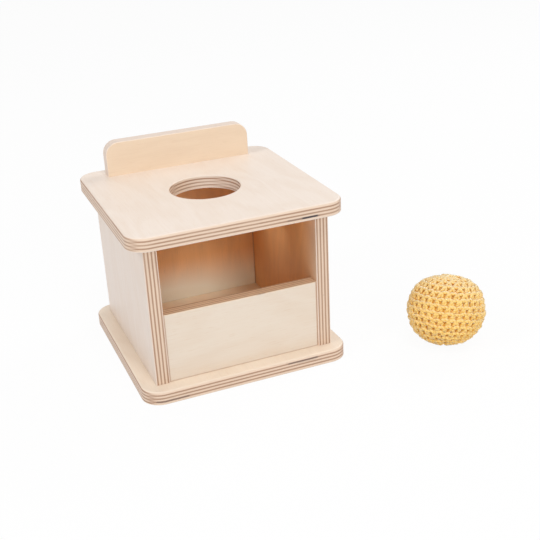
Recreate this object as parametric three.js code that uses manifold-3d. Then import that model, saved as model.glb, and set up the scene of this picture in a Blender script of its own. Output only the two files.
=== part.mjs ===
// Object permanence box in birch plywood, with its soft crocheted ball.
// Millimetres, +Z up. The origin is the centre of the base board's underside, and the open front faces -Y.

import * as THREE from 'three';
import { mergeVertices } from 'three/addons/utils/BufferGeometryUtils.js';
import Module from 'manifold-3d';

const wasm = await Module();
wasm.setup();

// Boards: one sheet of plywood gives every piece
const boardThickness = 12;
const boardArris = 0.8;

// Base and top: two equal plates with round corners, which stand out past the walls
const plateWidth = 186;
const plateDepth = 186;
const plateCornerRadius = 17;
const plateUpperRound = 2.2;
const wallInset = 12.5;

// Walls and front panel
const wallHeight = 125;
const frontPanelHeight = 62;
const frontPanelSetback = 1.2;

// Ball hole in the top, and its place along the depth
const holeDiameter = 62;
const holeCentreY = -2;
const holeRound = 1.2;

// Backstop on the rear of the top
const backstopHeight = 31;
const backstopCornerRadius = 12;

// Hidden dowels: depth in a board's face, depth in a board's edge, and the room round them for glue
const dowelDiameter = 6;
const dowelChamfer = 0.8;
const dowelFaceDepth = 8;
const dowelEdgeDepth = 22;
const throughDowelDepth = 15;
const dowelRadialClearance = 0.3;
const dowelEndClearance = 0.5;
const dowelEndMargin = 30;

// Ball: a crocheted cover drawn shut at its lower pole, over a soft filling
const ballWidth = 71;
const ballHeight = 63.5;
const ballCoverThickness = 3.5;
const ballMouthDiameter = 5;
const fillingClearance = 0.3;
const ballCentreX = 183;
const ballCentreY = -105.5;

// Facets of round stretches
const cornerSegments = 8;
const roundSegments = 3;
const holeSegments = 64;
const dowelSegments = 16;
const ballSegments = 36;
const ballRings = 18;

// Places that follow from the sizes above
const outerWidth = plateWidth - 2 * wallInset;
const wallDepth = plateDepth - 2 * wallInset;
const innerWidth = outerWidth - 2 * boardThickness;
const wallFrontY = -wallDepth / 2;
const wallBackY = wallDepth / 2;
const sideX = (outerWidth - boardThickness) / 2;
const backPanelY = wallBackY - boardThickness / 2;
const frontPanelY = wallFrontY + frontPanelSetback + boardThickness / 2;
const wallFootZ = boardThickness;
const wallTopZ = wallFootZ + wallHeight;
const topFaceZ = wallTopZ + boardThickness;

const birch = (color) => new THREE.MeshStandardMaterial({ color, roughness: 0.6, metalness: 0 });
const finishes = {
  plate: birch(0xf1e2d2),
  wall: birch(0xe4d6c8),
  panel: birch(0xead9c8),
  backstop: birch(0xefd6ba),
  dowel: birch(0xdcbf98),
  cover: new THREE.MeshStandardMaterial({ color: 0xecbd6c, roughness: 0.95, metalness: 0 }),
  filling: new THREE.MeshStandardMaterial({ color: 0xf4f1ea, roughness: 1, metalness: 0 }),
};

// Closed three.js geometry to a solid that can be cut, and back again
function toSolid(geometry) {
  const bare = geometry.clone();
  bare.deleteAttribute('normal');
  bare.deleteAttribute('uv');
  const merged = mergeVertices(bare, 1e-4);
  const mesh = new wasm.Mesh({
    numProp: 3,
    vertProperties: new Float32Array(merged.attributes.position.array),
    triVerts: new Uint32Array(merged.index.array),
  });
  return new wasm.Manifold(mesh);
}

function toGeometry(solid) {
  const { vertProperties, triVerts } = solid.getMesh();
  const geometry = new THREE.BufferGeometry();
  geometry.setAttribute('position', new THREE.BufferAttribute(vertProperties, 3));
  geometry.setIndex(new THREE.BufferAttribute(triVerts, 1));
  geometry.computeVertexNormals();
  return geometry;
}

// Outline of a rectangle about its centre, with a radius for its lower and one for its upper corners
function roundedOutline(width, height, lowerRadius, upperRadius) {
  const x = width / 2;
  const y = height / 2;
  const outline = new THREE.Shape();
  outline.moveTo(x - lowerRadius, -y);
  if (lowerRadius > 0) outline.absarc(x - lowerRadius, -y + lowerRadius, lowerRadius, -Math.PI / 2, 0);
  outline.lineTo(x, y - upperRadius);
  if (upperRadius > 0) outline.absarc(x - upperRadius, y - upperRadius, upperRadius, 0, Math.PI / 2);
  outline.lineTo(-x + upperRadius, y);
  if (upperRadius > 0) outline.absarc(-x + upperRadius, y - upperRadius, upperRadius, Math.PI / 2, Math.PI);
  outline.lineTo(-x, -y + lowerRadius);
  if (lowerRadius > 0) outline.absarc(-x + lowerRadius, -y + lowerRadius, lowerRadius, Math.PI, Math.PI * 1.5);
  outline.closePath();
  return outline;
}

// Board cut to an outline, standing on z = 0, its face arrises rounded inside the outline
function easedBoard(outline, thickness, arris) {
  return new THREE.ExtrudeGeometry(outline, {
    depth: thickness - 2 * arris,
    curveSegments: cornerSegments,
    bevelThickness: arris,
    bevelSize: arris,
    bevelOffset: -arris,
    bevelSegments: roundSegments,
  }).translate(0, 0, arris);
}

function squareBoard(outline, thickness) {
  return new THREE.ExtrudeGeometry(outline, {
    depth: thickness,
    curveSegments: cornerSegments,
    bevelEnabled: false,
  });
}

function block(width, depth, height) {
  return new THREE.BoxGeometry(width, depth, height);
}

// Profile of radius and height, turned about the z axis
function turned(profile, segments) {
  const points = profile.map(([radius, height]) => new THREE.Vector2(radius, height));
  return new THREE.LatheGeometry(points, segments).rotateX(Math.PI / 2);
}

// Plate of full thickness whose upper arris alone is rounded: the lower round of a thicker one is cut away
function plate() {
  const outline = roundedOutline(plateWidth, plateDepth, plateCornerRadius, plateCornerRadius);
  const thick = easedBoard(outline, boardThickness + plateUpperRound, plateUpperRound);
  const waste = block(2 * plateWidth, 2 * plateDepth, 2 * plateUpperRound);
  return toSolid(thick).subtract(toSolid(waste)).translate([0, 0, -plateUpperRound]);
}

// Wall of a side: its upright arrises are eased, its ends are square for the joints
function sideWall(side) {
  const footprint = roundedOutline(boardThickness, wallDepth, boardArris, boardArris);
  return toSolid(squareBoard(footprint, wallHeight).translate(side * sideX, 0, wallFootZ));
}

function backPanel() {
  return toSolid(block(innerWidth, boardThickness, wallHeight)
    .translate(0, backPanelY, wallFootZ + wallHeight / 2));
}

// Low front panel: its section across the thickness, with eased upper arrises, runs between the walls
function frontPanel() {
  const section = roundedOutline(boardThickness, frontPanelHeight, 0, boardArris);
  return toSolid(squareBoard(section, innerWidth)
    .translate(0, 0, -innerWidth / 2)
    .rotateX(Math.PI / 2)
    .rotateZ(Math.PI / 2)
    .translate(0, frontPanelY, wallFootZ + frontPanelHeight / 2));
}

// Cutter for the ball hole, flared at the top for the rounded rim
function holeCutter() {
  const radius = holeDiameter / 2;
  const rim = Array.from({ length: roundSegments + 1 }, (_, step) => {
    const angle = (step / roundSegments) * (Math.PI / 2);
    return [radius + holeRound * (1 - Math.cos(angle)), boardThickness - holeRound * (1 - Math.sin(angle))];
  });
  const above = boardThickness + holeRound;
  const profile = [[0, -holeRound], [radius, -holeRound], ...rim, [radius + holeRound, above], [0, above]];
  return toSolid(turned(profile, holeSegments).translate(0, holeCentreY, wallTopZ));
}

function topBoard() {
  return plate().translate([0, 0, wallTopZ]).subtract(holeCutter());
}

// Backstop: round upper corners and eased arrises, sawn square at the foot
function backstop() {
  const outline = roundedOutline(innerWidth, backstopHeight + boardArris, 0, backstopCornerRadius);
  const upright = easedBoard(outline, boardThickness, boardArris)
    .translate(0, 0, -boardThickness / 2)
    .rotateX(Math.PI / 2)
    .translate(0, backPanelY, topFaceZ + (backstopHeight - boardArris) / 2);
  const waste = block(2 * innerWidth, 2 * boardThickness, 2 * boardArris)
    .translate(0, backPanelY, topFaceZ - boardArris);
  return toSolid(upright).subtract(toSolid(waste));
}

// Dowels: each has a name, the joint face it crosses, the way it points, and its depth behind and ahead of it
function sideDowels(name, side) {
  const reach = wallDepth / 2 - dowelEndMargin;
  return [-reach, reach].flatMap((y, index) => {
    const place = index === 0 ? 'front' : 'back';
    const lower = new THREE.Vector3(side * sideX, y, wallFootZ);
    const upper = new THREE.Vector3(side * sideX, y, wallTopZ);
    return [
      { name: `${name}_lower_${place}_dowel`, at: lower, way: 'up', behind: dowelFaceDepth, ahead: dowelEdgeDepth },
      { name: `${name}_upper_${place}_dowel`, at: upper, way: 'up', behind: dowelEdgeDepth, ahead: dowelFaceDepth },
    ];
  });
}

function panelDowels(name, y) {
  const reach = innerWidth / 2 - dowelEndMargin;
  return [-reach, reach].map((x, index) => ({
    name: `${name}_${index === 0 ? 'left' : 'right'}_dowel`,
    at: new THREE.Vector3(x, y, wallFootZ),
    way: 'up',
    behind: dowelFaceDepth,
    ahead: dowelEdgeDepth,
  }));
}

function frontPanelEndDowels() {
  return [-1, 1].map((side) => ({
    name: `front_panel_end_${side < 0 ? 'left' : 'right'}_dowel`,
    at: new THREE.Vector3(side * innerWidth / 2, frontPanelY, wallFootZ + frontPanelHeight / 2),
    way: 'across',
    behind: side < 0 ? dowelFaceDepth : dowelEdgeDepth,
    ahead: side < 0 ? dowelEdgeDepth : dowelFaceDepth,
  }));
}

function backstopDowels() {
  const reach = innerWidth / 2 - dowelEndMargin;
  return [-reach, reach].map((x, index) => ({
    name: `backstop_${index === 0 ? 'left' : 'right'}_dowel`,
    at: new THREE.Vector3(x, backPanelY, wallTopZ),
    way: 'up',
    behind: throughDowelDepth,
    ahead: boardThickness + throughDowelDepth,
  }));
}

const dowels = [
  ...sideDowels('left_side', -1),
  ...sideDowels('right_side', 1),
  ...panelDowels('back_panel', backPanelY),
  ...panelDowels('front_panel', frontPanelY),
  ...frontPanelEndDowels(),
  ...backstopDowels(),
];

function placeAlong(geometry, { at, way }) {
  if (way === 'across') geometry.rotateY(Math.PI / 2);
  return geometry.translate(at.x, at.y, at.z);
}

function dowelPeg(dowel) {
  const radius = dowelDiameter / 2;
  const profile = [
    [0, -dowel.behind],
    [radius - dowelChamfer, -dowel.behind],
    [radius, -dowel.behind + dowelChamfer],
    [radius, dowel.ahead - dowelChamfer],
    [radius - dowelChamfer, dowel.ahead],
    [0, dowel.ahead],
  ];
  return placeAlong(turned(profile, dowelSegments), dowel);
}

function dowelBore(dowel) {
  const radius = dowelDiameter / 2 + dowelRadialClearance;
  const low = -dowel.behind - dowelEndClearance;
  const high = dowel.ahead + dowelEndClearance;
  return toSolid(placeAlong(turned([[0, low], [radius, low], [radius, high], [0, high]], dowelSegments), dowel));
}

const bores = dowels.map(dowelBore).reduce((all, bore) => all.add(bore));

// Ball pieces about the ball's centre
function ballForm(shrink) {
  return new THREE.SphereGeometry(1, ballSegments, ballRings)
    .rotateX(Math.PI / 2)
    .scale(ballWidth / 2 - shrink, ballWidth / 2 - shrink, ballHeight / 2 - shrink);
}

function ballCover() {
  const mouthRadius = ballMouthDiameter / 2;
  const mouth = turned([[0, -ballHeight], [mouthRadius, -ballHeight], [mouthRadius, 0], [0, 0]], dowelSegments);
  return toGeometry(toSolid(ballForm(0)).subtract(toSolid(ballForm(ballCoverThickness))).subtract(toSolid(mouth)));
}

function ballFilling() {
  return ballForm(ballCoverThickness + fillingClearance);
}

function addPiece(parent, name, geometry, material) {
  const mesh = new THREE.Mesh(geometry, material);
  mesh.name = name;
  parent.add(mesh);
}

const group = new THREE.Group();
group.name = 'object_permanence_box';

const boards = [
  ['base_board', plate(), finishes.plate],
  ['left_side', sideWall(-1), finishes.wall],
  ['right_side', sideWall(1), finishes.wall],
  ['back_panel', backPanel(), finishes.wall],
  ['front_panel', frontPanel(), finishes.panel],
  ['top_board', topBoard(), finishes.plate],
  ['backstop', backstop(), finishes.backstop],
];
for (const [name, solid, finish] of boards) addPiece(group, name, toGeometry(solid.subtract(bores)), finish);
for (const dowel of dowels) addPiece(group, dowel.name, dowelPeg(dowel), finishes.dowel);

const ball = new THREE.Group();
ball.name = 'ball';
ball.position.set(ballCentreX, ballCentreY, ballHeight / 2);
addPiece(ball, 'ball_cover', ballCover(), finishes.cover);
addPiece(ball, 'ball_filling', ballFilling(), finishes.filling);
group.add(ball);

export default group;
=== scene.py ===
import math
import random

import bmesh
import bpy
from mathutils import Euler, Matrix, Quaternion, Vector, noise


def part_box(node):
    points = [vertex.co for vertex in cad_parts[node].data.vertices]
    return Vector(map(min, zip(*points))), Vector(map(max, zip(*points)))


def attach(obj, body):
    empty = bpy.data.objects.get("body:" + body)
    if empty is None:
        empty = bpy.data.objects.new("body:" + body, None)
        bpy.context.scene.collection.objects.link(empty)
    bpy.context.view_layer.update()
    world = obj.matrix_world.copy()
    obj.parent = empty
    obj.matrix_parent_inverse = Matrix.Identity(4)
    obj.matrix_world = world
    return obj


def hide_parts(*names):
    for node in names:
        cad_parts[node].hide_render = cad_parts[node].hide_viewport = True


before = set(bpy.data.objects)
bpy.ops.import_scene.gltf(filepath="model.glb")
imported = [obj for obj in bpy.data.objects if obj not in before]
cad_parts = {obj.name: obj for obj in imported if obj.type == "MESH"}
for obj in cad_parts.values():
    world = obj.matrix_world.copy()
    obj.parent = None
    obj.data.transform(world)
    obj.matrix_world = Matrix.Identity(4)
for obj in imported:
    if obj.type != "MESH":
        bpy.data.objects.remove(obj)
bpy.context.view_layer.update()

bl_info = {
    "name": "Object Permanence Box",
    "version": (1, 0, 0),
    "blender": (4, 5, 0),
    "location": "View3D > Sidebar > Permanence Box",
    "description": "Dresses a plywood object permanence box and its crocheted ball",
    "category": "Object",
}

MM = 0.001
AXES = "XYZ"

# How each board was sawn from the sheet: the axis across its thickness, the axis of its face grain, its face
# colour, its slot, how dark its end grain shows, and the stretch of Y over which its painted inside shade
# sets in
BOARD_CUTS = {
    "base_board": {
        "thickness": "Z", "grain": "Y", "tone": "base_tone", "slot": "birch_plate", "contrast": 1.4,
        "shade_from": (-68 * MM, -66 * MM)},
    "top_board": {
        "thickness": "Z", "grain": "Y", "tone": "plate_tone", "slot": "birch_plate", "contrast": 1.15,
        "shade_from": (-90 * MM, -60 * MM)},
    "left_side": {
        "thickness": "X", "grain": "Z", "tone": "wall_tone", "slot": "birch_wall", "contrast": 1.1,
        "shade_from": (-105 * MM, -45 * MM)},
    "right_side": {
        "thickness": "X", "grain": "Z", "tone": "wall_tone", "slot": "birch_wall", "contrast": 1.4,
        "shade_from": (-105 * MM, -45 * MM)},
    "back_panel": {
        "thickness": "Y", "grain": "Z", "tone": "wall_tone", "slot": "birch_wall", "contrast": 1.0,
        "shade_from": (0 * MM, 1 * MM)},
    "front_panel": {
        "thickness": "Y", "grain": "X", "tone": "panel_tone", "slot": "birch_panel", "contrast": 0.9,
        "shade_from": (-68 * MM, -67.5 * MM)},
    "backstop": {
        "thickness": "Y", "grain": "X", "tone": "backstop_tone", "slot": "birch_backstop", "contrast": 0.7,
        "shade_from": (0 * MM, 1 * MM)},
}
# Boards whose inside face is painted paler low down as painted light, how pale at the least, and the height
# over which that fades
PAINTED_LOW_LIGHT = {"base_board": 0.0, "back_panel": 0.6}
LOW_LIGHT_RISE = 45 * MM
# Inside of the box: half its width, its back, its floor and its ceiling
HALF_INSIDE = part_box("right_side")[0].x
INSIDE_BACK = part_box("back_panel")[0].y
INSIDE_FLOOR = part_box("base_board")[1].z
INSIDE_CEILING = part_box("top_board")[0].z
# How far past those faces the painted inside shade ends, and how far from a corner a seam shows
SKIN = (0.1 * MM, 0.4 * MM)
SEAM = (0.3 * MM, 1.3 * MM)
# Gaps and dark streaks in the core along a board's front edge, the gaps dark with painted shade: first X,
# last X, ply from below, depth
CORE_MARKS = {
    "top_board": ((51 * MM, 66 * MM, 1, 0.95), (38 * MM, 51 * MM, 1, 0.35)),
    "base_board": ((33 * MM, 62 * MM, 5, 0.55), (42 * MM, 60 * MM, 4, 0.15), (-84 * MM, -56 * MM, 1, 0.45)),
}
# Boards whose ends meet the walls with a thin dark seam, and the depth of the seam at the foot
FOOT_SEAMS = {"front_panel": 0.6, "back_panel": 0.2}
DOWEL_NODES = sorted(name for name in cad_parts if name.endswith("_dowel"))


def length(name, description, millimetres):
    return bpy.props.FloatProperty(
        name=name, description=description, default=millimetres * MM, subtype="DISTANCE", unit="LENGTH")


def colour(name, description, linear):
    return bpy.props.FloatVectorProperty(
        name=name, description=description, default=linear, size=3, subtype="COLOR", min=0, max=1)


class PlywoodSettings(bpy.types.PropertyGroup):
    """Rounds of the boards, and the plies and colours of birch plywood."""

    corner_radius: length("Plate corner", "Radius of the corners of the base and the top", 17)
    plate_round: length("Plate upper round", "Radius of the upper arris of the base and the top", 2.2)
    hole_radius: length("Hole radius", "Radius of the ball hole", 31)
    hole_offset: length("Hole offset", "Place of the hole's centre along Y, from the middle of the top", -2)
    hole_round: length("Hole round", "Radius of the hole's upper rim", 1.2)
    backstop_radius: length("Backstop corner", "Radius of the backstop's upper corners", 12)
    arris: length("Arris", "Radius of the other arrises that a hand meets", 0.8)
    sawn_arris: length("Sawn arris", "Radius of arrises that only the saw left", 0.25)
    face_ply: length("Face ply", "Thickness of each thin outer ply", 0.75)
    core_ply: length("Core ply", "Thickness of each inner ply", 1.5)
    base_tone: colour("Base tone", "Face colour of the base", (0.86, 0.735, 0.60))
    plate_tone: colour("Top tone", "Face colour of the top", (0.86, 0.75, 0.66))
    wall_tone: colour("Wall tone", "Face colour of the sides and the back", (0.82, 0.705, 0.625))
    panel_tone: colour("Panel tone", "Face colour of the front panel", (0.79, 0.69, 0.58))
    backstop_tone: colour("Backstop tone", "Face colour of the backstop", (0.86, 0.685, 0.51))
    figure_tone: colour("Figure", "Colour that the growth figure tints a face towards", (0.66, 0.46, 0.30))
    # Painted shade: deep warm colour of the shaded faces inside the box
    inside_shade_tone: colour("Inside tone", "Deep colour of the faces inside the box", (1.0, 0.565, 0.245))
    # Painted light: paler colour low down inside the box
    inside_low_light_tone: colour("Inside low tone", "Paler colour low down inside the box", (1.0, 0.97, 0.80))
    # Painted light: warm bounce light tinting the front panel's edges
    bounce_tint: colour("Warm tint", "Tint of the front panel's edges", (1.0, 0.95, 0.83))
    pale_ply: colour("Pale ply", "Edge of a ply whose fibres run along the edge", (0.775, 0.60, 0.46))
    dark_ply: colour("Dark ply", "Edge of a ply whose fibres end at the edge", (0.43, 0.255, 0.165))
    # Painted shade inside small gaps of the inner plies
    void_shade_tone: colour("Core gap", "Small gaps in the inner plies", (0.03, 0.02, 0.028))
    dowel_tone: colour("Dowel", "Turned beech of the dowels", (0.66, 0.44, 0.25))


class BallSettings(bpy.types.PropertyGroup):
    """Yarn and stitches of the ball."""

    yarn_radius: length("Yarn radius", "Radius of the cotton yarn", 1.75)
    row_height: length("Row height", "Distance from one round of stitches to the next", 6.1)
    stitch_width: length("Stitch width", "Width of one stitch along its round", 6.33)
    lean: bpy.props.FloatProperty(
        name="Lean", description="Part of its width by which a stitch leans to the right over its height",
        default=0.14)
    drift: bpy.props.FloatProperty(
        name="Drift", description="Part of a stitch by which each round moves on over the round below",
        default=0.42)
    axis_lean: bpy.props.FloatVectorProperty(
        name="Axis", description="Way that the first round's pole points", default=(0.20, 0.234, 0.947),
        size=3, subtype="DIRECTION")
    crown_sink: bpy.props.FloatProperty(
        name="Crown", description="Part of the radius by which the flat first rounds sink", default=0.06)
    shoulder: bpy.props.FloatProperty(
        name="Shoulder", description="Angle from the pole to the shoulder round the crown",
        default=math.radians(50), subtype="ANGLE")
    unevenness: bpy.props.FloatProperty(
        name="Unevenness", description="Part of the radius by which hand work swells or sinks", default=0.03)
    yarn_tone: colour("Yarn", "Colour of the yarn", (0.98, 0.675, 0.225))
    # Painted shade: colour of the yarn where it lies deep between rounds and in its grooves
    yarn_shade: colour("Yarn, deep", "Colour of the yarn where it is packed", (0.74, 0.34, 0.035))
    # Painted light: paler yarn on the upper side
    yarn_top_light: colour("Yarn, pale", "Colour of the loose fibres on the upper side", (1.0, 0.80, 0.46))
    # Painted shade: deep colour of the lining seen between the stitches
    lining_shade_tone: colour("Inner yarn", "Colour between the stitches", (0.86, 0.44, 0.05))
    fibre_tone: colour("Filling", "Colour of the fibre filling", (0.88, 0.86, 0.81))


class StageSettings(bpy.types.PropertyGroup):
    """Camera, floor and lamps."""

    azimuth: bpy.props.FloatProperty(
        name="Azimuth", description="Camera's way round the box", default=math.radians(-21.45),
        subtype="ANGLE")
    elevation: bpy.props.FloatProperty(
        name="Elevation", description="Camera's height angle", default=math.radians(24.15), subtype="ANGLE")
    roll: bpy.props.FloatProperty(
        name="Roll", description="Camera's turn about its own line of sight", default=math.radians(-2.983),
        subtype="ANGLE")
    distance: length("Distance", "From the camera to the point it looks at", 876.4)
    target: bpy.props.FloatVectorProperty(
        name="Target", description="Point that the camera looks at", default=(0.0576, 0.0, 0.056), size=3,
        subtype="XYZ", unit="LENGTH")
    lens: bpy.props.FloatProperty(
        name="Lens", description="Focal length on a 36 mm sensor", default=62.54, unit="CAMERA")
    floor_size: length("Floor", "Side of the square floor", 14000)
    floor_tone: colour("Floor colour", "Pale floor", (0.9, 0.9, 0.9))
    sky_strength: bpy.props.FloatProperty(
        name="Sky", description="Strength of the even light from all sides", default=0.45, min=0)
    key_power: bpy.props.FloatProperty(
        name="Key", description="Power of the lamp high in front, which shines through the hole", default=7.0,
        min=0, unit="POWER")
    front_power: bpy.props.FloatProperty(
        name="Front", description="Power of the soft lamp low in front", default=11.35, min=0, unit="POWER")
    side_power: bpy.props.FloatProperty(
        name="Side", description="Power of the lamp on the left", default=10.8, min=0, unit="POWER")
    rim_power: bpy.props.FloatProperty(
        name="Rim", description="Power of the lamp behind on the right", default=8.3, min=0, unit="POWER")


class Wire:
    """A shader socket that takes part in Python expressions."""

    def __init__(self, graph, socket):
        self.graph = graph
        self.socket = socket

    def out(self, name):
        return Wire(self.graph, self.socket.node.outputs[name])

    def math(self, operation, *others):
        return self.graph.math(operation, self, *others)

    def __add__(self, other):
        return self.math("ADD", other)

    def __sub__(self, other):
        return self.math("SUBTRACT", other)

    def __rsub__(self, other):
        return self.graph.math("SUBTRACT", other, self)

    def __mul__(self, other):
        return self.math("MULTIPLY", other)

    def __truediv__(self, other):
        return self.math("DIVIDE", other)

    def __mod__(self, other):
        return self.math("MODULO", other)

    __radd__ = __add__
    __rmul__ = __mul__

    def floor(self):
        return self.math("FLOOR")

    def sine(self):
        return self.math("SINE")

    def distance_to(self, value):
        return (self - value).math("ABSOLUTE")

    def smooth(self, start, end):
        """0 before start, 1 after end and a soft step between them."""
        return self.graph.add(
            "ShaderNodeMapRange", {"interpolation_type": "SMOOTHSTEP"},
            {"Value": self, "From Min": start, "From Max": end})


class Graph:
    """The nodes of one material or world."""

    def __init__(self, name, owners=bpy.data.materials):
        self.owner = owners.new(name)
        self.owner.use_nodes = True
        self.tree = self.owner.node_tree
        self.tree.nodes.clear()

    def add(self, kind, settings=None, inputs=None, out=0):
        """Adds a node, sets it up, feeds its sockets, and gives one of its outputs, if it has any."""
        node = self.tree.nodes.new(kind)
        for key, value in (settings or {}).items():
            setattr(node, key, value)
        for key, value in (inputs or {}).items():
            if isinstance(value, Wire):
                self.tree.links.new(value.socket, node.inputs[key])
            else:
                node.inputs[key].default_value = value
        return Wire(self, node.outputs[out]) if node.outputs else None

    def math(self, operation, *values):
        return self.add("ShaderNodeMath", {"operation": operation}, dict(enumerate(values)))

    def split(self, vector):
        first = self.add("ShaderNodeSeparateXYZ", inputs={"Vector": vector})
        return {axis: first.out(axis) for axis in AXES}

    def noise(self, x, y, z, detail=2.0, roughness=0.5):
        vector = self.add("ShaderNodeCombineXYZ", inputs={"X": x, "Y": y, "Z": z})
        return self.add(
            "ShaderNodeTexNoise",
            inputs={"Vector": vector, "Scale": 1.0, "Detail": detail, "Roughness": roughness})

    def mix(self, amount, first, second, blend="MIX"):
        """Colour from first to second by amount."""
        first, second = (value if isinstance(value, Wire) else (*value, 1) for value in (first, second))
        return self.add(
            "ShaderNodeMix", {"data_type": "RGBA", "blend_type": blend, "clamp_factor": True},
            {0: amount, 6: first, 7: second}, out=2)

    def bump(self, height, depth, strength=1.0):
        return self.add("ShaderNodeBump", inputs={"Height": height, "Distance": depth, "Strength": strength})

    def surface(self, **sockets):
        """Principled shader as the material's surface, sockets named with _ for a space."""
        names = (key.replace("_", " ").title().replace("Ior", "IOR") for key in sockets)
        shader = self.add("ShaderNodeBsdfPrincipled", inputs=dict(zip(names, sockets.values())))
        return self.output("ShaderNodeOutputMaterial", shader)

    def background_rays(self):
        """1 for rays that show the background: from the camera, off gloss and through glass."""
        path = self.add("ShaderNodeLightPath", out="Is Camera Ray")
        return (path + path.out("Is Glossy Ray") + path.out("Is Transmission Ray")).math("MINIMUM", 1.0)

    def output(self, kind, shader):
        self.add(kind, inputs={"Surface": shader})
        return self.owner


def birch_plywood(node, look):
    """Lacquered birch ply: figured faces, and edges whose plies are pale or dark as their fibres run."""
    cut = BOARD_CUTS[node]
    seed = 3.7 * list(BOARD_CUTS).index(node)
    graph = Graph("birch_" + node)
    spot = graph.split(graph.add("ShaderNodeTexCoord", out="Object"))
    facing = graph.split(graph.add("ShaderNodeNewGeometry", out="Normal"))
    cross = next(axis for axis in AXES if axis not in (cut["thickness"], cut["grain"]))
    low_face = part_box(node)[0][AXES.index(cut["thickness"])]
    along, across = spot[cut["grain"]], spot[cross]
    run = along + across

    # Growth figure of the veneer: contour lines of a stretched field, with fine fibres and short flecks
    drift = graph.noise(along * 5, across * 9, seed)
    field = graph.noise(along * 6 + seed, across * 21 + drift * 1.6, seed, detail=3)
    contour = (field * 7 % 1.0).distance_to(0.5) * 2
    fibre = graph.noise(along * 30, across * 900, seed)
    cloud = graph.noise(along * 7, across * 13, seed + 9)
    fleck = graph.noise(along * 120, across * 1500, seed + 4, detail=0).smooth(0.70, 0.80)
    figure = contour.smooth(0.1, 1.0) * 0.10 + (fibre - 0.5) * 0.22 + cloud * 0.16 + fleck * 0.18
    face = graph.mix(figure, getattr(look, cut["tone"]), look.figure_tone)

    # Plies: counted through the thickness, with a slight waver, every second one laid across
    thick = spot[cut["thickness"]]
    waver = (graph.noise(run * 45, thick * 150, seed) - 0.5) * (0.35 * MM)
    count = (thick - low_face + waver - look.face_ply) / look.core_ply
    ply = count.floor()
    within = count - ply
    laid_across = (ply + 1) % 2.0
    end_along = facing[cut["grain"]] * facing[cut["grain"]]
    end_across = facing[cross] * facing[cross]
    end_grain = end_along + (end_across - end_along) * laid_across
    speckle = graph.noise(run * 700, thick * 2500, seed) - 0.5
    streak = graph.noise(run * 22, ply * 5.3 + seed, seed) - 0.5
    middle = 1 - within.distance_to(0.5).smooth(0.36, 0.5)
    shade = end_grain.smooth(0.12, 0.75) * middle * (0.9 + streak * 1.3) * cut["contrast"]
    shade = shade + speckle * 0.2 + streak * 0.15
    glue = within.distance_to(0.5).smooth(0.42, 0.5) * 0.18
    edge = graph.mix(shade + glue, look.pale_ply, look.dark_ply)
    edge = graph.mix(count.distance_to(3.5).smooth(3.42, 3.58) * 0.75, edge, getattr(look, cut["tone"]))
    # Small gaps in the inner plies, dark with painted shade
    gap = graph.noise(run * 42 + seed, ply * 9.1 + seed, seed, detail=1).smooth(0.73, 0.76) * 0.5 * middle
    front = (0 - facing["Y"]).smooth(0.3, 0.9)
    for first, last, mark_ply, depth in CORE_MARKS.get(node, ()):
        ragged = (speckle + streak) * (5 * MM)
        reach = spot["X"].distance_to((first + last) / 2) + ragged
        mark = (1 - reach.smooth((last - first) / 2 - 1 * MM, (last - first) / 2 + 1 * MM)) * depth
        gap = gap.math("MAXIMUM", mark * (1 - count.distance_to(mark_ply + 0.5).smooth(0.45, 0.7)) * front)
    edge = graph.mix(gap, edge, look.void_shade_tone)

    # Painted shade: faces inside the box take a deeper, warmer tone for the shade inside it
    near, far = SKIN
    aside = spot["X"].math("ABSOLUTE")
    inside = spot["Y"].smooth(*cut["shade_from"])
    inside = inside * (1 - spot["Y"].smooth(INSIDE_BACK + near, INSIDE_BACK + far))
    inside = inside * (1 - aside.smooth(HALF_INSIDE + near, HALF_INSIDE + far))
    inside = inside * spot["Z"].smooth(INSIDE_FLOOR - far, INSIDE_FLOOR - near)
    inside = inside * (1 - spot["Z"].smooth(INSIDE_CEILING + near, INSIDE_CEILING + far))
    deep = graph.mix(figure, look.inside_shade_tone, look.dark_ply)
    # Painted light: paler low down inside the box, where light reaches
    if node in PAINTED_LOW_LIGHT:
        low_light_mask = 1 - spot["Z"].smooth(INSIDE_FLOOR, INSIDE_FLOOR + LOW_LIGHT_RISE)
        deep = graph.mix(low_light_mask * (cloud + PAINTED_LOW_LIGHT[node]), deep, look.inside_low_light_tone)
    face = graph.mix(inside, face, deep)

    # Edges of some boards, with painted light: the hole's wall is painted paler, warmer on the left
    if node == "top_board":
        off_centre = spot["Y"] - look.hole_offset
        from_hole = (spot["X"] * spot["X"] + off_centre * off_centre).math("SQRT") - look.hole_radius
        hole_light_mask = 1 - from_hole.smooth(look.hole_round, look.hole_round * 2)
        to_right = spot["X"].smooth(-look.hole_radius, look.hole_radius)
        hole_lit_tone = graph.mix(to_right, look.backstop_tone, look.plate_tone)
        edge = graph.mix(hole_light_mask * (0.5 + to_right * 0.25) * (1 - shade * 0.8), edge, hole_lit_tone)
    # Painted light: the backstop's edges paled as if lit from above
    if node == "backstop":
        edge = graph.mix(0.6, edge, look.wall_tone)
    # Painted light: the front panel's edges tinted warm with bounce light
    if node == "front_panel":
        edge = graph.mix(1.0, edge, look.bounce_tint, "MULTIPLY")

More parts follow.
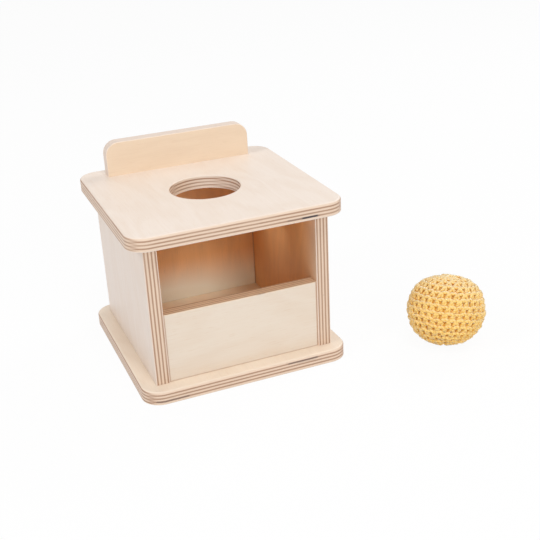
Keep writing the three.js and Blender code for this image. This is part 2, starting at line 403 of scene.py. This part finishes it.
    if node in FOOT_SEAMS:
        near, far = SEAM
        foot = 1 - spot["Z"].smooth(INSIDE_FLOOR + near, INSIDE_FLOOR + far)
        seam = aside.smooth(HALF_INSIDE - far, HALF_INSIDE - near).math("MAXIMUM", foot * FOOT_SEAMS[node])
        face = graph.mix(seam * 0.9, face, look.dark_ply)
    flat = (facing[cut["thickness"]] * facing[cut["thickness"]]).smooth(0.55, 0.97)
    tone = graph.mix(flat, edge, face)
    grooves = fibre * 0.5 + fleck * -0.6
    height = grooves * flat + (speckle * 0.6 - glue * 2 - gap * 2) * (1 - flat)
    return graph.surface(
        base_color=tone,
        roughness=0.56 - flat * 0.12 + fibre * 0.08,
        normal=graph.bump(height, 0.08 * MM, 0.6),
        coat_weight=0.3,
        coat_roughness=0.3,
    )


def turned_beech(look):
    """Raw beech of the dowels, with its short dark rays."""
    graph = Graph("turned_beech")
    spot = graph.split(graph.add("ShaderNodeTexCoord", out="Object"))
    fibre = graph.noise(spot["X"] * 900, spot["Y"] * 900, spot["Z"] * 60)
    ray = graph.noise(spot["X"] * 1600, spot["Y"] * 1600, spot["Z"] * 260, detail=0).smooth(0.66, 0.74)
    tone = graph.mix(fibre * 0.35 + ray * 0.4, look.dowel_tone, look.dark_ply)
    return graph.surface(base_color=tone, roughness=0.6 + fibre * 0.15, normal=graph.bump(fibre, 0.05 * MM))


def cotton_yarn(ball):
    """Matt cotton: strands twisted round the yarn, a tone that drifts from stitch to stitch, painted shade
    deep between rounds and in the twist's grooves, and painted light on the upper side.
    """
    graph = Graph("cotton_yarn")
    place = graph.split(graph.add("ShaderNodeUVMap", {"uv_map": "yarn"}))
    spot = graph.split(graph.add("ShaderNodeTexCoord", out="Object"))
    drift = graph.add("ShaderNodeAttribute", {"attribute_name": "stitch_tone"}, out="Fac")
    below = graph.add("ShaderNodeAttribute", {"attribute_name": "stitch_depth"}, out="Fac")
    below = below.smooth(-0.25, 0.75)
    twist = ((place["X"] * 9 + place["Y"] * 2) * math.tau).sine() * 0.5 + 0.5
    fuzz = graph.noise(spot["X"] * 1300, spot["Y"] * 1300, spot["Z"] * 1300, detail=3, roughness=0.6)
    # Painted shade deep between rounds and in the twist's grooves, with fuzz and drift as random tone
    shade_and_tone = below + twist.smooth(0.75, 0.0) * 0.55 + (fuzz - 0.5) * 0.8 + (drift - 0.5) * 0.3
    tone = graph.mix(shade_and_tone, ball.yarn_tone, ball.yarn_shade)
    # Painted light: the yarn paler where it faces up
    upper = graph.split(graph.add("ShaderNodeNewGeometry", out="Normal"))["Z"].smooth(0.35, 1.0)
    tone = graph.mix(upper * 0.55, tone, ball.yarn_top_light)
    return graph.surface(
        base_color=tone,
        roughness=0.86 + fuzz * 0.1,
        specular_ior_level=0.1,
        normal=graph.bump(twist * 0.7 + fuzz * 0.5, 0.25 * MM, 0.8),
        sheen_weight=1.0,
        sheen_roughness=0.4,
        sheen_tint=(1.0, 0.98, 0.88, 1.0),
    )


# Lining under the stitches, coloured deep as painted shade between them
def inner_yarn(ball):
    graph = Graph("inner_yarn")
    spot = graph.split(graph.add("ShaderNodeTexCoord", out="Object"))
    fuzz = graph.noise(spot["X"] * 900, spot["Y"] * 900, spot["Z"] * 900, detail=3)
    tone = graph.mix(fuzz * 0.6, ball.lining_shade_tone, ball.yarn_shade)
    return graph.surface(
        base_color=tone, roughness=0.95, specular_ior_level=0.1, normal=graph.bump(fuzz, 0.4 * MM))


def loose_fibre(ball):
    graph = Graph("loose_fibre")
    spot = graph.split(graph.add("ShaderNodeTexCoord", out="Object"))
    curl = graph.noise(spot["X"] * 400, spot["Y"] * 400, spot["Z"] * 400, detail=5, roughness=0.7)
    tone = graph.mix(curl * 0.3, ball.fibre_tone, (0.62, 0.60, 0.56))
    return graph.surface(base_color=tone, roughness=1.0, normal=graph.bump(curl, 0.8 * MM))


def paper_floor(stage):
    """Pale floor that the camera sees nearly white, with the object's shadow left on it."""
    graph = Graph("paper_floor")
    spot = graph.split(graph.add("ShaderNodeTexCoord", out="Object"))
    tooth = graph.noise(spot["X"] * 300, spot["Y"] * 300, 0.0)
    tone = graph.mix(tooth * 0.05, stage.floor_tone, (0.8, 0.8, 0.8))
    paper = graph.add("ShaderNodeBsdfPrincipled", inputs={"Base Color": tone, "Roughness": 0.9})
    glow = graph.add("ShaderNodeEmission", inputs={"Color": (1, 1, 1, 1), "Strength": 1.0})
    shader = graph.add("ShaderNodeMixShader", inputs={0: graph.background_rays() * 0.94, 1: paper, 2: glow})
    return graph.output("ShaderNodeOutputMaterial", shader)


def finish_piece(name, bm, materials, body, nodes, slot):
    """Mesh object from a bmesh, which rides on a body and stands for CAD nodes."""
    mesh = bpy.data.meshes.new(name)
    bm.to_mesh(mesh)
    bm.free()
    for material in materials:
        mesh.materials.append(material)
    mesh.shade_smooth()
    piece = bpy.data.objects.new(name, mesh)
    bpy.context.scene.collection.objects.link(piece)
    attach(piece, body)
    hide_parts(*nodes)
    return piece


def finish_board(bm, node, look):
    piece = finish_piece(
        node + "_wood", bm, [birch_plywood(node, look)], "box", [node], BOARD_CUTS[node]["slot"])
    piece.data.set_sharp_from_angle(angle=math.radians(50))
    weighted = piece.modifiers.new("flat_faces", "WEIGHTED_NORMAL")
    weighted.keep_sharp = True
    weighted.weight = 100
    return piece


def sawn_block(node):
    """Rectangular block that fills a board's place in the frame."""
    low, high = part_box(node)
    bm = bmesh.new()
    bmesh.ops.create_cube(bm, size=1.0)
    bmesh.ops.scale(bm, vec=high - low, verts=bm.verts)
    bmesh.ops.translate(bm, vec=(low + high) / 2, verts=bm.verts)
    return bm, low, high


def edges_along(bm, axis, keep=lambda middle: True):
    """Edges that run along an axis and whose middle point is kept."""
    index = AXES.index(axis)
    found = []
    for edge in bm.edges:
        span = edge.verts[1].co - edge.verts[0].co
        if abs(span[index]) > 0.999 * span.length and keep((edge.verts[0].co + edge.verts[1].co) / 2):
            found.append(edge)
    return found


def edges_at_level(bm, axis, level):
    """Edges that lie in the plane where an axis has a given value."""
    index = AXES.index(axis)
    return [edge for edge in bm.edges if all(abs(vert.co[index] - level) < 0.01 * MM for vert in edge.verts)]


def round_over(bm, edges, radius, segments):
    bmesh.ops.bevel(
        bm, geom=edges, offset=radius, offset_type="OFFSET", segments=segments, profile=0.5,
        affect="EDGES", clamp_overlap=True, material=-1)


CORNER_STEPS = 23
HOLE_STEPS = 4 * (CORNER_STEPS + 1)


def cut_plate(node, look):
    """Plate with round corners, before its arrises are rounded."""
    bm, low, high = sawn_block(node)
    round_over(bm, edges_along(bm, "Z"), look.corner_radius, CORNER_STEPS)
    return bm, low, high


def bore_hole(bm, look, levels):
    """Round hole through a plate, whose faces are bridged to the rims of the hole. Gives the upper rim."""
    faces = [face for face in bm.faces if abs(face.normal.z) > 0.99]
    outlines = {level: edges_at_level(bm, "Z", level) for level in levels}
    bmesh.ops.delete(bm, geom=faces, context="FACES_ONLY")
    rims = []
    for level, outline in outlines.items():
        place = Matrix.Translation((0, look.hole_offset, level))
        ring = bmesh.ops.create_circle(bm, radius=look.hole_radius, segments=HOLE_STEPS, matrix=place)
        rim = list({edge for vert in ring["verts"] for edge in vert.link_edges})
        bmesh.ops.bridge_loops(bm, edges=outline + rim)
        rims.append(rim)
    bmesh.ops.bridge_loops(bm, edges=rims[0] + rims[1])
    bmesh.ops.recalc_face_normals(bm, faces=bm.faces)
    return rims[1]


def is_rim(edge):
    """True where two faces of an edge turn away from each other."""
    return len(edge.link_faces) == 2 and edge.calc_face_angle() > math.radians(60)


def ease_plate(bm, look, low, high):
    """Rounds the upper arris of a plate and takes the sharpness off the lower one."""
    upper = [edge for edge in edges_at_level(bm, "Z", high.z) if is_rim(edge)]
    round_over(bm, upper, look.plate_round, 6)
    lower = [edge for edge in edges_at_level(bm, "Z", low.z) if is_rim(edge)]
    round_over(bm, lower, look.arris / 2, 2)


class PERMANENCE_OT_plates(bpy.types.Operator):
    """Make the base board and the top board with its ball hole"""

    bl_idname = "permanence.plates"
    bl_label = "Base and top"

    def execute(self, context):
        look = context.scene.permanence_plywood
        bm, low, high = cut_plate("base_board", look)
        ease_plate(bm, look, low, high)
        finish_board(bm, "base_board", look)

        bm, low, high = cut_plate("top_board", look)
        upper_rim = bore_hole(bm, look, (low.z, high.z))
        round_over(bm, upper_rim, look.hole_round, 5)
        ease_plate(bm, look, low, high)
        finish_board(bm, "top_board", look)
        return {"FINISHED"}


class PERMANENCE_OT_walls(bpy.types.Operator):
    """Make the two sides and the back panel"""

    bl_idname = "permanence.walls"
    bl_label = "Sides and back"

    def execute(self, context):
        look = context.scene.permanence_plywood
        for node in ("left_side", "right_side"):
            bm, *_ = sawn_block(node)
            round_over(bm, edges_along(bm, "Z"), look.arris, 4)
            round_over(bm, [edge for edge in bm.edges if is_rim(edge)], look.sawn_arris, 2)
            finish_board(bm, node, look)
        bm, *_ = sawn_block("back_panel")
        round_over(bm, bm.edges[:], look.sawn_arris, 2)
        finish_board(bm, "back_panel", look)
        return {"FINISHED"}


class PERMANENCE_OT_front_panel(bpy.types.Operator):
    """Make the low front panel"""

    bl_idname = "permanence.front_panel"
    bl_label = "Front panel"

    def execute(self, context):
        look = context.scene.permanence_plywood
        bm, low, high = sawn_block("front_panel")
        middle = (low.z + high.z) / 2
        round_over(bm, edges_along(bm, "X", lambda point: point.z > middle), look.arris, 4)
        round_over(bm, [edge for edge in bm.edges if is_rim(edge)], look.sawn_arris, 2)
        finish_board(bm, "front_panel", look)
        return {"FINISHED"}


class PERMANENCE_OT_backstop(bpy.types.Operator):
    """Make the backstop with its round upper corners"""

    bl_idname = "permanence.backstop"
    bl_label = "Backstop"

    def execute(self, context):
        look = context.scene.permanence_plywood
        bm, low, high = sawn_block("backstop")
        middle = (low.z + high.z) / 2
        round_over(bm, edges_along(bm, "Y", lambda point: point.z > middle), look.backstop_radius, 16)
        faces = edges_at_level(bm, "Y", low.y) + edges_at_level(bm, "Y", high.y)
        upper = [edge for edge in faces if max(vert.co.z for vert in edge.verts) > low.z + look.arris]
        round_over(bm, upper, look.arris, 4)
        finish_board(bm, "backstop", look)
        return {"FINISHED"}


class PERMANENCE_OT_dowels(bpy.types.Operator):
    """Give the hidden dowels their beech"""

    bl_idname = "permanence.dowels"
    bl_label = "Dowels"

    def execute(self, context):
        beech = turned_beech(context.scene.permanence_plywood)
        for name in DOWEL_NODES:
            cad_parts[name].data.materials.clear()
            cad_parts[name].data.materials.append(beech)
        return {"FINISHED"}


YARN_SIDES = 5
LOOP_STEPS = 12
# Depth of the stitches' bed and of the lining under the ball's outline, in yarn radii
BED_DEPTH = 1.95
LINING_DEPTH = 1.55
# How far a stitch may turn aside, in radians, and stray from its place
SWAY = 0.18
STRAY = 0.4 * MM
# Least girth of a round, and the girth from which rounds count as full, as parts of the widest one
LEAST_GIRTH = 0.12
FULL_GIRTH = 0.9
# Turn of the way out over which the cover's slope is measured
NUDGE = 0.05
# Right half of a stitch, from its bar down to the tip that dives under the round below:
# X in stitch widths, Y in row heights, Z in yarn radii
HALF_STITCH = (
    (0.22, 0.66, 0.80),
    (0.48, 0.54, 0.95),
    (0.45, 0.28, 0.85),
    (0.28, 0.00, 0.45),
    (0.13, -0.30, 0.00),
    (0.06, -0.64, -0.60),
)
# How many bulges of hand work fit in one radius, and where the pattern of them starts
BULGES = 1.9
BULGE_START = Vector((4, 1, 7))


def yarn_loop(ball):
    """One stitch lying flat: X along its round, Y towards the first round's pole, Z out of the ball."""
    bm = bmesh.new()
    upright = Matrix.Translation((1, 0, 0)) @ Euler((math.pi / 2, 0, 0)).to_matrix().to_4x4()
    ring = bmesh.ops.create_circle(bm, radius=ball.yarn_radius, segments=YARN_SIDES, matrix=upright)["verts"]
    edges = list({edge for vert in ring for edge in vert.link_edges})
    bmesh.ops.spin(
        bm, geom=ring + edges, cent=(0, 0, 0), axis=(0, 0, 1), angle=math.tau, steps=LOOP_STEPS,
        use_merge=True)
    bmesh.ops.recalc_face_normals(bm, faces=bm.faces)
    map_yarn(bm)
    depth = bm.verts.layers.float.new("stitch_depth")
    path = stitch_path(ball)
    for vert in bm.verts:
        turn = math.atan2(vert.co.y, vert.co.x) / math.tau
        around = yarn_angle(vert.co)
        along = (on_path(path, turn + 0.01) - on_path(path, turn - 0.01)).normalized()
        side = along.cross(Vector((0, 0, 1))).normalized()
        offset = side * math.cos(around) + side.cross(along) * math.sin(around)
        vert.co = on_path(path, turn) + offset * ball.yarn_radius
        # Painted shade kept on each point: deeper in the bed, on the yarn's underside, and low in each stitch
        sink_shade = 0.4 - 0.5 * vert.co.z / ball.yarn_radius - 0.35 * math.cos(around)
        vert[depth] = sink_shade + 0.8 * max(0.3 - vert.co.y / ball.row_height, 0)
    return bm


def stitch_path(ball):
    """Closed run of points that the yarn follows in one stitch, counter-clockwise from its top right."""
    def point(x, y, z):
        return Vector(((x + ball.lean * y) * ball.stitch_width, y * ball.row_height, z * ball.yarn_radius))

    right = [point(x, y, z) for x, y, z in HALF_STITCH]
    left = [point(-x, y, z) for x, y, z in HALF_STITCH]
    return [right[0], *left, *reversed(right[1:])]


def on_path(path, turn):
    """Point on a smooth closed curve through a run of points."""
    place = (turn % 1.0) * len(path)
    part = place % 1.0
    before, start, end, after = (path[(int(place) + step) % len(path)] for step in (-1, 0, 1, 2))
    bend = 2 * before - 5 * start + 4 * end - after
    twist = 3 * (start - end) - before + after
    return start + ((end - before) * part + bend * part ** 2 + twist * part ** 3) / 2


def map_yarn(bm):
    """UV map on the loop: X once round the stitch, Y once round the yarn."""
    layer = bm.loops.layers.uv.new("yarn")
    for face in bm.faces:
        start = math.atan2(face.calc_center_median().y, face.calc_center_median().x)
        side = yarn_angle(face.calc_center_median())
        for corner in face.loops:
            around = math.atan2(corner.vert.co.y, corner.vert.co.x)
            section = yarn_angle(corner.vert.co)
            corner[layer].uv = (nearest_turn(around, start), nearest_turn(section, side))


def yarn_angle(point):
    return math.atan2(point.z, math.hypot(point.x, point.y) - 1)


def nearest_turn(angle, start):
    """Angle in turns, on the same lap as start."""
    gap = (angle - start + math.pi) % math.tau - math.pi
    return (start + gap) / math.tau


def stitch_places(ball, radii):
    """Spiral of stitches from pole to pole: for each, its place and its frame on the ball."""
    pole = Vector(ball.axis_lean).normalized()
    tilt = Vector((0, 0, 1)).rotation_difference(pole)
    mean_radius = sum(radii) / 3
    rise = ball.row_height / mean_radius
    polar, azimuth, turn = 0.55 * rise, 0.0, -1
    while polar < math.pi - 0.4 * rise:
        if int(azimuth / math.tau) > turn:
            turn = int(azimuth / math.tau)
            count = stitches_in_round(ball, mean_radius, polar + rise / 2)
        girth = math.sin(polar)
        way = tilt @ Vector((girth * math.cos(azimuth), girth * math.sin(azimuth), math.cos(polar)))
        east = pole.cross(way).normalized()
        along = slope(ball, way, east, radii)
        outward = along.cross(slope(ball, way, way.cross(east), radii)).normalized()
        yield cover_point(ball, way, radii), Matrix((along, outward.cross(along), outward)).transposed()
        azimuth += math.tau / count
        polar += rise / count


def cover_point(ball, way, radii):
    """Point of the lumpy cover in a direction from the ball's middle."""
    way = way.normalized()
    return Vector(w * r for w, r in zip(way, radii)) * lumpiness(ball, way)


def slope(ball, way, step, radii):
    """Direction in which the cover runs on from a place as the way out turns towards step."""
    ahead, behind = (cover_point(ball, way + turn * step, radii) for turn in (NUDGE, -NUDGE))
    return (ahead - behind).normalized()


def lumpiness(ball, way):
    """Factor on the ball's radius in a direction: the first rounds lie flat, with a shoulder round them."""
    from_pole = way.angle(Vector(ball.axis_lean)) / ball.shoulder
    crown = math.cos(math.pi * from_pole) * math.exp(-from_pole ** 2 / 2)
    return 1 - ball.crown_sink * crown + ball.unevenness * noise.noise(way * BULGES + BULGE_START)


def stitches_in_round(ball, radius, polar):
    """Number of stitches in a round, with a part over by which the next round drifts."""
    girth = 1.0 if math.sin(polar) > FULL_GIRTH else max(math.sin(polar), LEAST_GIRTH)
    return round(math.tau * radius * girth / ball.stitch_width - ball.drift) + ball.drift


def ball_radii(node):
    """Half sizes and centre of a round node."""
    low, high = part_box(node)
    return (high - low) / 2, (high + low) / 2


def crochet(ball):
    """All stitches of the cover over a lining of the same yarn, coloured deeper as painted shade between the
    stitches.
    """
    stitch_mesh = bpy.data.meshes.new("stitch")
    loop = yarn_loop(ball)
    loop.to_mesh(stitch_mesh)
    loop.free()
    radii, centre = ball_radii("ball_cover")
    bed = radii - Vector((1, 1, 1)) * (BED_DEPTH * ball.yarn_radius)
    dice = random.Random(7)
    bm = bmesh.new()
    tone = bm.verts.layers.float.new("stitch_tone")
    for point, turn in stitch_places(ball, bed):
        before = len(bm.verts)
        bm.from_mesh(stitch_mesh)
        bm.verts.ensure_lookup_table()
        fresh = bm.verts[before:]
        sway = Matrix.Rotation(dice.uniform(-SWAY, SWAY), 4, "Z")
        aside = Vector((dice.uniform(-1, 1), dice.uniform(-1, 1), dice.uniform(-0.8, 0)))
        stray = Matrix.Translation(aside * STRAY)
        sizes = (dice.uniform(0.92, 1.06), dice.uniform(0.9, 1.06), dice.uniform(0.85, 1.0))
        size = Matrix.Diagonal((*sizes, 1))
        shift = Matrix.Translation(centre + point)
        bmesh.ops.transform(bm, matrix=shift @ turn.to_4x4() @ stray @ sway @ size, verts=fresh)
        stitch_tone = dice.random()
        for vert in fresh:
            vert[tone] = stitch_tone
    bpy.data.meshes.remove(stitch_mesh)
    lining = bmesh.ops.create_uvsphere(bm, u_segments=48, v_segments=24, radius=1.0)["verts"]
    inner = radii - Vector((1, 1, 1)) * (LINING_DEPTH * ball.yarn_radius)
    for vert in lining:
        vert.co = centre + cover_point(ball, vert.co, inner)
    for face in {face for vert in lining for face in vert.link_faces}:
        face.material_index = 1
    return bm


class PERMANENCE_OT_ball(bpy.types.Operator):
    """Crochet the ball's cover and make its filling"""

    bl_idname = "permanence.ball"
    bl_label = "Ball"

    def execute(self, context):
        ball = context.scene.permanence_ball
        cover = finish_piece(
            "ball_crochet", crochet(ball), [cotton_yarn(ball), inner_yarn(ball)], "ball", ["ball_cover"],
            "yellow_crochet")

        radii, centre = ball_radii("ball_filling")
        bm = bmesh.new()
        bmesh.ops.create_icosphere(bm, subdivisions=4, radius=1.0)
        dice = random.Random(11)
        for vert in bm.verts:
            vert.co *= dice.uniform(0.94, 0.99)
        bmesh.ops.smooth_vert(
            bm, verts=bm.verts, factor=0.5, use_axis_x=True, use_axis_y=True, use_axis_z=True)
        bmesh.ops.scale(bm, vec=radii, verts=bm.verts)
        bmesh.ops.translate(bm, vec=centre, verts=bm.verts)
        filling = finish_piece(
            "ball_fibre", bm, [loose_fibre(ball)], "ball", ["ball_filling"], "white_filling")
        return {"FINISHED"}


# Lamps of the stage: the size of each and its place
LAMPS = {
    "key": (0.5, (-0.1, -0.95, 1.8)),
    "front": (0.8, (0.28, -1.88, 0.9)),
    "side": (0.5, (-1.5, -0.28, 1.4)),
    "rim": (0.8, (1.4, 0.5, 1.3)),
}


def soft_lamp(name, power, size, place, aim):
    lamp = bpy.data.lights.new(name, "AREA")
    lamp.energy = power
    lamp.size = size
    lit = bpy.data.objects.new(name, lamp)
    lit.location = place
    lit.rotation_mode = "QUATERNION"
    lit.rotation_quaternion = (Vector(aim) - Vector(place)).to_track_quat("-Z", "Y")
    bpy.context.scene.collection.objects.link(lit)


def even_sky(strength):
    """White world: an even light, and a plain white behind the object for the camera."""
    graph = Graph("even_sky", bpy.data.worlds)
    level = graph.background_rays() * (1 - strength) + strength
    sky = graph.add("ShaderNodeBackground", inputs={"Color": (1, 1, 1, 1), "Strength": level})
    bpy.context.scene.world = graph.output("ShaderNodeOutputWorld", sky)


class PERMANENCE_OT_stage(bpy.types.Operator):
    """Make the floor, the lamps and the camera"""

    bl_idname = "permanence.stage"
    bl_label = "Stage"

    def execute(self, context):
        stage = context.scene.permanence_stage
        bm = bmesh.new()
        bmesh.ops.create_grid(bm, x_segments=1, y_segments=1, size=stage.floor_size / 2)
        mesh = bpy.data.meshes.new("floor")
        bm.to_mesh(mesh)
        bm.free()
        mesh.materials.append(paper_floor(stage))
        floor = bpy.data.objects.new("floor", mesh)
        context.scene.collection.objects.link(floor)

        even_sky(stage.sky_strength)
        aim = Vector(stage.target)
        for name, (size, place) in LAMPS.items():
            soft_lamp(name, getattr(stage, name + "_power"), size, place, aim)

        back = Vector((
            math.sin(stage.azimuth) * math.cos(stage.elevation),
            -math.cos(stage.azimuth) * math.cos(stage.elevation),
            math.sin(stage.elevation)))
        camera = bpy.data.objects.new("camera", bpy.data.cameras.new("camera"))
        camera.data.sensor_width = 36.0
        camera.data.lens = stage.lens
        camera.location = aim + back * stage.distance
        camera.rotation_mode = "QUATERNION"
        camera.rotation_quaternion = (-back).to_track_quat("-Z", "Y") @ Quaternion((0, 0, 1), stage.roll)
        context.scene.collection.objects.link(camera)
        context.scene.camera = camera
        context.scene.view_settings.view_transform = "Standard"
        return {"FINISHED"}


OPERATORS = (
    PERMANENCE_OT_stage,
    PERMANENCE_OT_plates,
    PERMANENCE_OT_walls,
    PERMANENCE_OT_front_panel,
    PERMANENCE_OT_backstop,
    PERMANENCE_OT_dowels,
    PERMANENCE_OT_ball,
)
SETTINGS = {
    "permanence_plywood": PlywoodSettings,
    "permanence_ball": BallSettings,
    "permanence_stage": StageSettings,
}


class PERMANENCE_PT_sidebar(bpy.types.Panel):
    """Lists the pieces of the box in the order they are made"""

    bl_idname = "PERMANENCE_PT_sidebar"
    bl_label = "Permanence Box"
    bl_space_type = "VIEW_3D"
    bl_region_type = "UI"
    bl_category = "Permanence Box"

    def draw(self, context):
        for operator in OPERATORS:
            self.layout.operator(operator.bl_idname)
        for name, group in SETTINGS.items():
            box = self.layout.box()
            for setting in group.__annotations__:
                box.prop(getattr(context.scene, name), setting)


CLASSES = (*SETTINGS.values(), *OPERATORS, PERMANENCE_PT_sidebar)


def register():
    for cls in CLASSES:
        bpy.utils.register_class(cls)
    for name, group in SETTINGS.items():
        setattr(bpy.types.Scene, name, bpy.props.PointerProperty(type=group))


def unregister():
    for name in SETTINGS:
        delattr(bpy.types.Scene, name)
    for cls in reversed(CLASSES):
        bpy.utils.unregister_class(cls)


def main():
    register()
    for operator in OPERATORS:
        group, action = operator.bl_idname.split(".")
        getattr(getattr(bpy.ops, group), action)()


if __name__ == "__main__":
    main()
